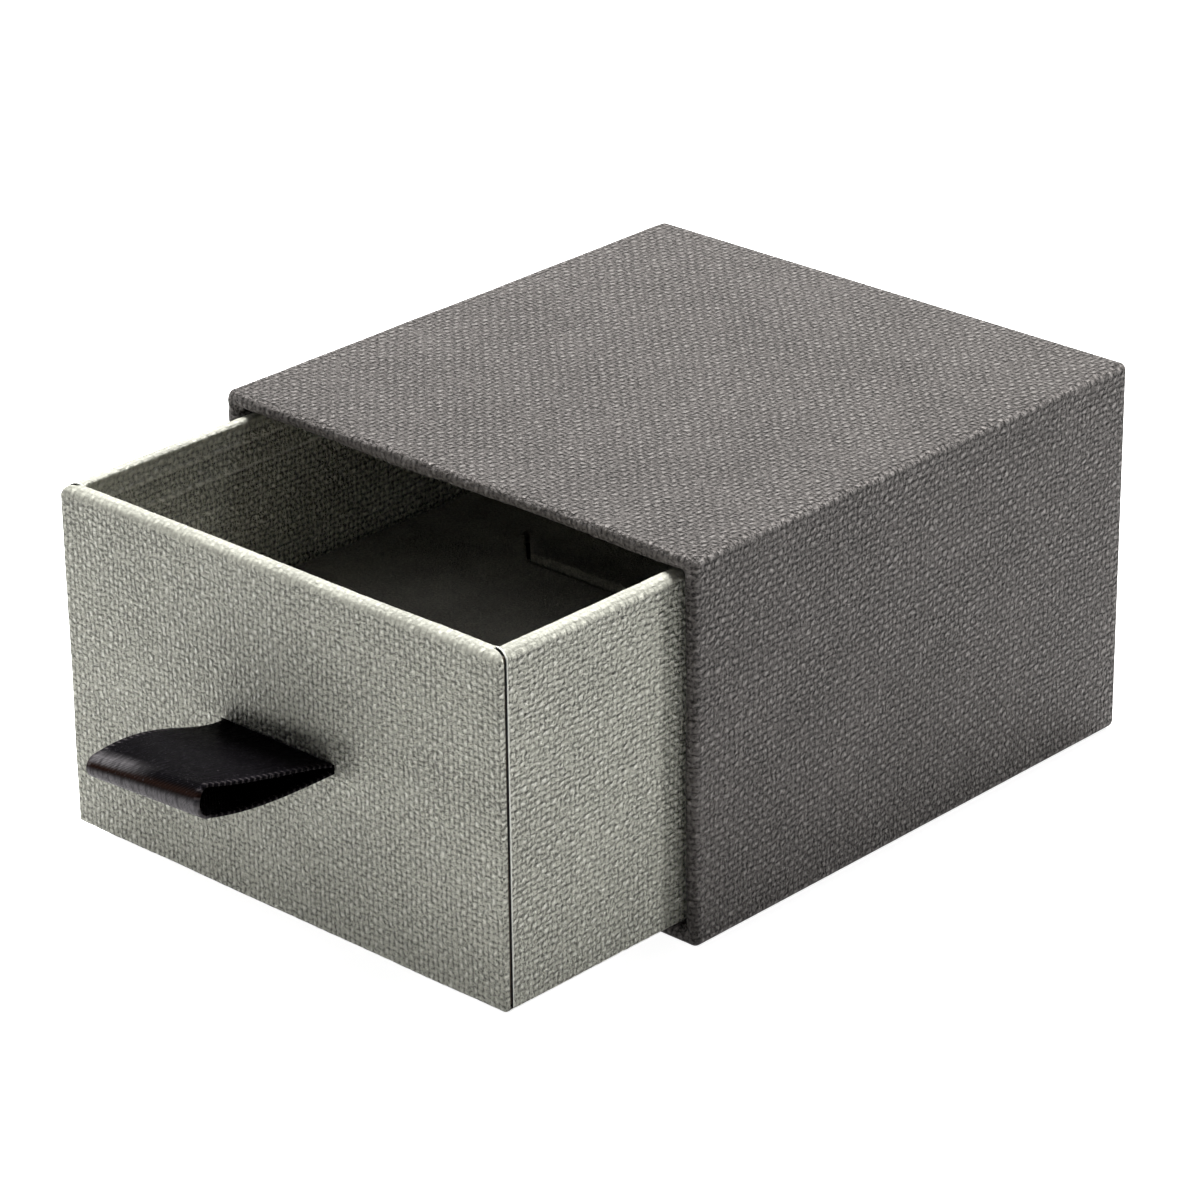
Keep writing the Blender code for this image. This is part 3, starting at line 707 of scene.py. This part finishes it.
def add_drawer_paper(linen, seam, raw_edge):
    low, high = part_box("drawer_wrap")
    half_x = (high[0] - low[0]) / 2
    half_y = (high[1] - low[1]) / 2
    length = high[2] - low[2]
    floor_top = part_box("drawer_floor_liner")[1][2]
    skin = PaperSkin(half_x, half_y, DRAWER_EDGE, DRAWER_CUTS)
    stations = wrap_stations(length, DRAWER_EDGE, DRAWER_RIM, high[2] - floor_top, 0.0)
    skin.draw_all(stations, DRAWER_EDGE, INNER_CORNER)
    bm = skin.bm
    map_drawer_blank(skin)
    outward(bm)
    cut_ribbon_slot(bm)
    for side_x in (-1, 1):
        for side_y in (-1, 1):
            outer = Vector((side_x * half_x, side_y * (half_y - SEAM_BACK), 0))
            inner = Vector((side_x * (half_x - WALL), side_y * (half_y - SEAM_BACK_INSIDE), 0))

            def near(face, side_x=side_x, side_y=side_y):
                centre = face.calc_center_median()
                in_x = side_x * centre.x > half_x - WALL - 0.01 * MM
                in_y = half_y - 2 * WALL < side_y * centre.y < half_y - 0.2 * MM
                outer_side = side_x * face.normal.x > 0.3 or face.normal.z > 0.25
                return in_x and in_y and outer_side and centre.z > DRAWER_EDGE

            press_seam(bm, outer, inner, near)
    top = length - DRAWER_RIM[0]
    mark(bm, "pressed", lambda vert: ease(vert.co.z, top - 0.1 * MM, top + 0.5 * MM))
    ruffle(bm, lambda vert: 1.0)
    centre = Vector(((low[0] + high[0]) / 2, (low[1] + high[1]) / 2, low[2]))
    bmesh.ops.translate(bm, vec=centre, verts=bm.verts)
    piece = finish_piece("drawer_paper", bm, linen)
    piece.data.materials.append(seam)
    piece.data.materials.append(raw_edge)
    thicken(piece, PAPER)
    return piece


def add_sleeve_paper(material):
    low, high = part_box("sleeve_wrap")
    half_x = (high[0] - low[0]) / 2
    half_z = (high[2] - low[2]) / 2
    length = high[1] - low[1]
    skin = PaperSkin(half_x, half_z, SLEEVE_EDGE, SLEEVE_CUTS)
    stations = wrap_stations(length, SLEEVE_EDGE, SLEEVE_RIM, SLEEVE_TURN_IN, SLEEVE_FLAP)
    skin.draw_all(stations, SLEEVE_EDGE, INNER_CORNER)
    bm = skin.bm
    map_sleeve_wrap(skin)
    bmesh.ops.delete(bm, geom=[skin.base], context="FACES_ONLY")
    outward(bm)
    mark(bm, "pressed", lambda vert: SLEEVE_PRESSED * ease(vert.co.z, length - 1.0 * MM, length - 0.3 * MM))
    bmesh.ops.rotate(bm, cent=(0, 0, 0), matrix=Matrix.Rotation(QUARTER, 3, "X"), verts=bm.verts)
    bmesh.ops.translate(bm, vec=(0, high[1], (low[2] + high[2]) / 2), verts=bm.verts)
    lip = low[1] + SLEEVE_RIM[0]

    def weight(vert):
        free_of_back = ease(high[1] - vert.co.y, 0.5 * MM, 3 * MM)
        free_of_base = ease(vert.co.z - low[2], 0.3 * MM, 1.5 * MM)
        at_lip = 1 + LIP_RUFFLE * ease(lip - vert.co.y, -0.2 * MM, 0.5 * MM)
        return free_of_back * free_of_base * at_lip

    ruffle(bm, weight)
    for x, reach, rise in LIP_BUMPS:
        place = Vector((x, low[1] + 0.3 * MM, high[2]))
        for vert in bm.verts:
            away = (vert.co - place).length / reach
            if away < 1:
                vert.co += vert.normal * rise * (1 - away * away) ** 2
    piece = finish_piece("sleeve_paper", bm, material)
    thicken(piece, PAPER)
    return piece


def mixed(pairs, share):
    """The corners of a curve at a share of the ribbon's width, from its far to its near edge."""
    far, near = pairs
    return [tuple(a + (b - a) * share for a, b in zip(*ends)) for ends in zip(far, near)]


def curve(corners, steps):
    """Points of a Bezier curve, its last one left to the next curve."""
    points = []
    for step in range(steps):
        share = step / steps
        rest = 1 - share
        weights = (rest**3, 3 * rest * rest * share, 3 * rest * share * share, share**3)
        points.append(tuple(sum(w * c[axis] for w, c in zip(weights, corners)) * MM for axis in (0, 1)))
    return points


def ribbon_path(share):
    """The ribbon's middle line, out from the slot and up, at a share of its width."""
    upper, fold, lower = (mixed(part, share) for part in (UPPER_RUN, FOLD, LOWER_RUN))
    enter, leave = upper[0][1] * MM, lower[-1][1] * MM
    path = []
    for depth, start, way in ((FAR_TAIL_IN, enter, 1), (NEAR_TAIL_IN, leave, -1)):
        bend = depth - BEND_IN
        tail = []
        for step in range(TAIL_STEPS):
            tail.append((-depth, -TAIL_LENGTH + (TAIL_LENGTH + start - bend) * step / TAIL_STEPS))
        for step in range(EDGE_STEPS + 1):
            angle = QUARTER * step / EDGE_STEPS
            tail.append((-BEND_IN - bend * math.cos(angle), start - bend + bend * math.sin(angle)))
        if way > 0:
            path += tail
            path += curve(upper, RUN_STEPS) + curve(fold, FOLD_STEPS) + curve(lower, RUN_STEPS)
            path.append((0.0, leave))
        else:
            path += reversed(tail)
    return path


def add_ribbon(material):
    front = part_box("drawer_wrap")[0]
    paths = [ribbon_path(column / RIBBON_COLUMNS) for column in range(RIBBON_COLUMNS + 1)]
    count = len(paths[0])
    fold_start = TAIL_STEPS + EDGE_STEPS + 1 + RUN_STEPS
    crease_row = fold_start + round(CREASE_SHARE * FOLD_STEPS)
    runs = []
    for path in paths:
        run = [0.0]
        for first, second in zip(path, path[1:]):
            run.append(run[-1] + math.dist(first, second))
        runs.append(run)
    bm = bmesh.new()
    bmesh.ops.create_grid(bm, x_segments=RIBBON_COLUMNS, y_segments=count - 1, size=0.5)
    layer = bm.loops.layers.uv.new("ribbon")
    crease = bm.verts.layers.float.new("crease")
    painted_sheen_layer = bm.verts.layers.float.new("front")
    spots = {}
    for vert in bm.verts:
        spots[vert] = (round((vert.co.x + 0.5) * RIBBON_COLUMNS), round((vert.co.y + 0.5) * (count - 1)))
    for face in bm.faces:
        for loop in face.loops:
            column, row = spots[loop.vert]
            loop[layer].uv = ((column / RIBBON_COLUMNS - 0.5) * RIBBON_WIDTH, runs[column][row])
    for vert, (column, row) in spots.items():
        away = (runs[column][row] - runs[column][crease_row]) / CREASE_HALF
        vert[crease] = math.exp(-away * away)
        # The 'front' weight says where painted sheen goes: on the fold below the crease and, towards the far
        # edge, above it.
        turn = (row - fold_start) / FOLD_STEPS
        below_crease = ease(turn, 0.4, 0.55) * (1 - ease(turn, 0.85, 1.1))
        above_crease = ease(turn, -0.1, 0.05) * (1 - ease(turn, 0.22, 0.34))
        far_share = 1 - ease(column / RIBBON_COLUMNS, 0.15, 0.6)
        vert[painted_sheen_layer] = below_crease + above_crease * far_share * PAINTED_SHEEN_ABOVE
        out, up = paths[column][row]
        across = (column / RIBBON_COLUMNS - 0.5) * RIBBON_WIDTH
        vert.co = (across, front[1] - out, front[2] + SLOT_UP + up)
    bmesh.ops.recalc_face_normals(bm, faces=bm.faces[:])
    piece = finish_piece("ribbon_loop", bm, material)
    thicken(piece, RIBBON_THICKNESS, 0.0)
    return piece, runs[RIBBON_COLUMNS // 2][-1]


def tongue_cuts(rear):
    """The three straight cuts round the pad's tongue, as pairs of points on its top."""
    front = rear - TONGUE_FROM_REAR
    half = TONGUE_FRONT / 2
    splay = TONGUE_SIDE / math.sqrt(2)
    left, right = Vector((-half, front, 0)), Vector((half, front, 0))
    return (
        (left + Vector((-splay, splay, 0)), left),
        (left, right),
        (right, right + Vector((splay, splay, 0))),
    )


def add_pad(material):
    low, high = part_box("pad_cover")
    half_x = (high[0] - low[0]) / 2
    half_y = (high[1] - low[1]) / 2
    edge_height = high[2] - PAD_CROWN + PAD_LIFT
    deep = edge_height - low[2]
    skin = PaperSkin(half_x, half_y, PAD_CORNER, PAD_CUTS)
    stations = list(reversed(quarter_turn((0.0, -PAD_ROUND), (PAD_ROUND, PAD_ROUND), EDGE_STEPS)))
    straight = deep - 2 * PAD_ROUND
    count = round(straight / RING_STEP)
    stations += [(0.0, -PAD_ROUND - straight * step / count) for step in range(1, count + 1)]
    stations += quarter_turn((0.0, PAD_ROUND - deep), (PAD_ROUND, -PAD_ROUND), EDGE_STEPS)[1:]
    skin.draw_all(stations, PAD_CORNER, INNER_CORNER)
    bm = skin.bm
    bmesh.ops.contextual_create(bm, geom=skin.ring)
    bmesh.ops.recalc_face_normals(bm, faces=bm.faces[:])

    def on_top(face):
        return face.normal.z > 0.99 and face.calc_center_median().z > -0.01 * MM

    for axis, half in ((0, half_x), (1, half_y)):
        normal = Vector((1, 0, 0)) if axis == 0 else Vector((0, 1, 0))
        count = round(2 * (half - PAD_ROUND) / PAD_GRID)
        for step in range(1, count):
            place = normal * (2 * step / count - 1) * (half - PAD_ROUND)
            bisect_near(bm, [face for face in bm.faces if on_top(face)], place, normal)
    grooves = []
    for start, end in tongue_cuts(half_y):
        along = (end - start).normalized()
        across = Vector((-along.y, along.x, 0))
        middle, reach = (start + end) / 2, (end - start).length / 2 + TONGUE_CUT / 2

        def near(face, middle=middle, along=along, across=across, reach=reach):
            away = face.calc_center_median() - middle
            in_line = abs(away.dot(along)) < reach + PAD_GRID
            return on_top(face) and in_line and abs(away.dot(across)) < 2 * PAD_GRID

        for place, normal in (
            (middle + across * TONGUE_CUT / 2, across),
            (middle - across * TONGUE_CUT / 2, across),
            (middle + along * reach, along),
            (middle - along * reach, along),
        ):
            bisect_near(bm, [face for face in bm.faces if near(face)], place, normal)
        grooves.append((middle, along, across, reach))
    cut = []
    for face in bm.faces:
        if on_top(face):
            for middle, along, across, reach in grooves:
                away = face.calc_center_median() - middle
                if abs(away.dot(along)) < reach and abs(away.dot(across)) < TONGUE_CUT / 2:
                    cut.append(face)
                    break
    sink_faces(bm, cut, TONGUE_DEPTH)
    bm.normal_update()
    front = half_y - TONGUE_FROM_REAR
    for vert in bm.verts:
        x, y, z = vert.co
        edge = min(half_x - abs(x), half_y - abs(y))
        top = ease(z, -deep / 2, 0.0)
        vert.co.z += PAD_CROWN * ease(edge, 0.0, PAD_CROWN_RUN) * top
        inside = TONGUE_FRONT / 2 + (y - front) - abs(x)
        if y > front and inside > 0 and z > -PAD_ROUND:
            fall = 1 - ease(y - front, 0.0, TONGUE_RISE_RUN)
            vert.co.z += TONGUE_RISE * fall * ease(inside, -1.0 * MM, 1.5 * MM)
        soft = noise.noise(Vector((x, y, z)) / PAD_SOFT_REACH) * PAD_SOFT_SIZE
        pile = noise.noise(Vector((x, y, z)) / PAD_PILE_REACH) * PAD_PILE_SIZE
        vert.co += vert.normal * (soft + pile)
    centre = Vector(((low[0] + high[0]) / 2, (low[1] + high[1]) / 2, edge_height))
    bmesh.ops.translate(bm, vec=centre, verts=bm.verts)
    return finish_piece("velvet_pad", bm, material)


def add_camera():
    data = bpy.data.cameras.new("camera")
    data.lens = CAMERA_LENS
    data.sensor_fit = "HORIZONTAL"
    data.sensor_width = SENSOR_WIDTH
    data.shift_x, data.shift_y = CAMERA_SHIFT
    data.clip_start = 0.01
    data.clip_end = 10.0
    camera = bpy.data.objects.new("camera", data)
    bpy.context.scene.collection.objects.link(camera)
    turn = Matrix.Rotation(CAMERA_AZIMUTH, 4, "Z")
    turn = turn @ Matrix.Rotation(QUARTER - CAMERA_TILT, 4, "X")
    turn = turn @ Matrix.Rotation(CAMERA_ROLL, 4, "Z")
    camera.matrix_world = Matrix.Translation(CAMERA_PLACE) @ turn
    bpy.context.scene.camera = camera


def seen_white(tree):
    """1 for the rays that show the surroundings, straight or in a gloss, and 0 for those that light."""
    path = put(tree, "LightPath")
    seen = calc(tree, "MAXIMUM", path.outputs["Is Camera Ray"], path.outputs["Is Glossy Ray"])
    return calc(tree, "MAXIMUM", seen, path.outputs["Is Transmission Ray"])


def add_floor():
    """A white floor that keeps the box's shadow and gives back less light than it shows."""
    bm = bmesh.new()
    bmesh.ops.create_grid(bm, x_segments=1, y_segments=1, size=FLOOR_REACH)
    material = bpy.data.materials.new("white_floor")
    material.use_nodes = True
    tree = material.node_tree
    tree.nodes.clear()
    cloth = put(tree, "BsdfDiffuse", {"Color": (FLOOR_WHITE, FLOOR_WHITE, FLOOR_WHITE, 1.0)})
    dim_cloth = put(tree, "BsdfDiffuse", {"Color": (FLOOR_BOUNCE, FLOOR_BOUNCE, FLOOR_BOUNCE, 1.0)})
    glow = put(tree, "Emission", {"Color": (1.0, 1.0, 1.0, 1.0), "Strength": FLOOR_GLOW})
    both = put(tree, "AddShader", {0: cloth.outputs[0], 1: glow.outputs[0]})
    shown = put(tree, "MixShader", {0: seen_white(tree), 1: dim_cloth.outputs[0], 2: both.outputs[0]})
    put(tree, "OutputMaterial", {"Surface": shown.outputs[0]})
    floor = finish_piece("floor", bm, material, smooth=False)


def add_surroundings():
    """White all round where it is seen; it puts no light of its own on the box."""
    world = bpy.data.worlds.new("white_tent")
    bpy.context.scene.world = world
    world.use_nodes = True
    tree = world.node_tree
    tree.nodes.clear()
    light = put(tree, "Background", {"Color": (1.0, 1.0, 1.0, 1.0), "Strength": seen_white(tree)})
    put(tree, "OutputWorld", {"Surface": light.outputs[0]})


def add_lamp(name, azimuth, height, spread, power):
    """A round softbox that faces the box; its place and its half width are given in degrees."""
    turn, rise = math.radians(azimuth), math.radians(height)
    towards = Vector((math.cos(rise) * math.cos(turn), math.cos(rise) * math.sin(turn), math.sin(rise)))
    data = bpy.data.lights.new(name, "AREA")
    data.shape = "DISK"
    data.size = 2 * LAMP_AWAY * math.tan(math.radians(spread))
    data.energy = power
    lamp = bpy.data.objects.new(name, data)
    bpy.context.scene.collection.objects.link(lamp)
    lamp.location = towards * LAMP_AWAY
    lamp.rotation_euler = (-towards).to_track_quat("-Z", "Y").to_euler()


def dress_cad_nodes(finishes):
    """Gives each CAD node the first finish whose key is in its name."""
    for name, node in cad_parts.items():
        finish = next(value for key, value in finishes if key in name)
        node.data.materials.clear()
        node.data.materials.append(finish)


add_camera()
add_floor()
add_surroundings()
for lamp_values in LAMPS:
    add_lamp(*lamp_values)

sleeve_look = (SLEEVE_THREAD, SLEEVE_TONES, SLEEVE_GRAIN, SLEEVE_GLOSS)
drawer_look = (DRAWER_THREAD, DRAWER_TONES, DRAWER_GRAIN, DRAWER_GLOSS)
sleeve_linen = linen_paper("dark_linen_paper", *sleeve_look)
drawer_linen = linen_paper("silver_linen_paper", *drawer_look, slubs=True)
back_linen = linen_paper("dark_linen_back", *sleeve_look, turned=(-QUARTER, 0.0, 0.0))
base_linen = linen_paper("dark_linen_base", *sleeve_look, turned=(0.0, 0.0, 0.0))
lining = plain_stock("dark_lining_paper", *LINING)
board = plain_stock("greyboard", *GREYBOARD)
# The stay tape's dark colour is partly painted shade, for the open seams it shows in.
tape = plain_stock("kraft_stay_tape", *STAY_TAPE_PAINTED_SHADE)
foam = plain_stock("dark_foam", *FOAM)
ribbon_satin = satin("black_satin")
pad_velvet = velvet("dark_velvet")

dress_cad_nodes(
    (
        ("board", board),
        ("stay", tape),
        ("patch", tape),
        ("sleeve_back_sheet", back_linen),
        ("base_sheet", base_linen),
        ("liner", lining),
        ("foam", foam),
        ("sleeve_wrap", sleeve_linen),
        ("drawer_wrap", drawer_linen),
        ("ribbon", ribbon_satin),
        ("pad_cover", pad_velvet),
    )
)

sleeve_paper = add_sleeve_paper(sleeve_linen)
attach(sleeve_paper, "sleeve")
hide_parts("sleeve_wrap")

seam_shadow = plain_stock("seam_painted_shade", *SEAM_PAINTED_SHADE)
raw_edge = plain_stock("cut_paper_edge", *CUT_EDGE)
drawer_paper = add_drawer_paper(drawer_linen, seam_shadow, raw_edge)
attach(drawer_paper, "drawer")
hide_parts("drawer_wrap")

ribbon, ribbon_length = add_ribbon(ribbon_satin)
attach(ribbon, "drawer")
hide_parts("ribbon_pull")

pad = add_pad(pad_velvet)
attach(pad, "drawer")
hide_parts("pad_cover")

bpy.context.scene.view_settings.view_transform = "Standard"
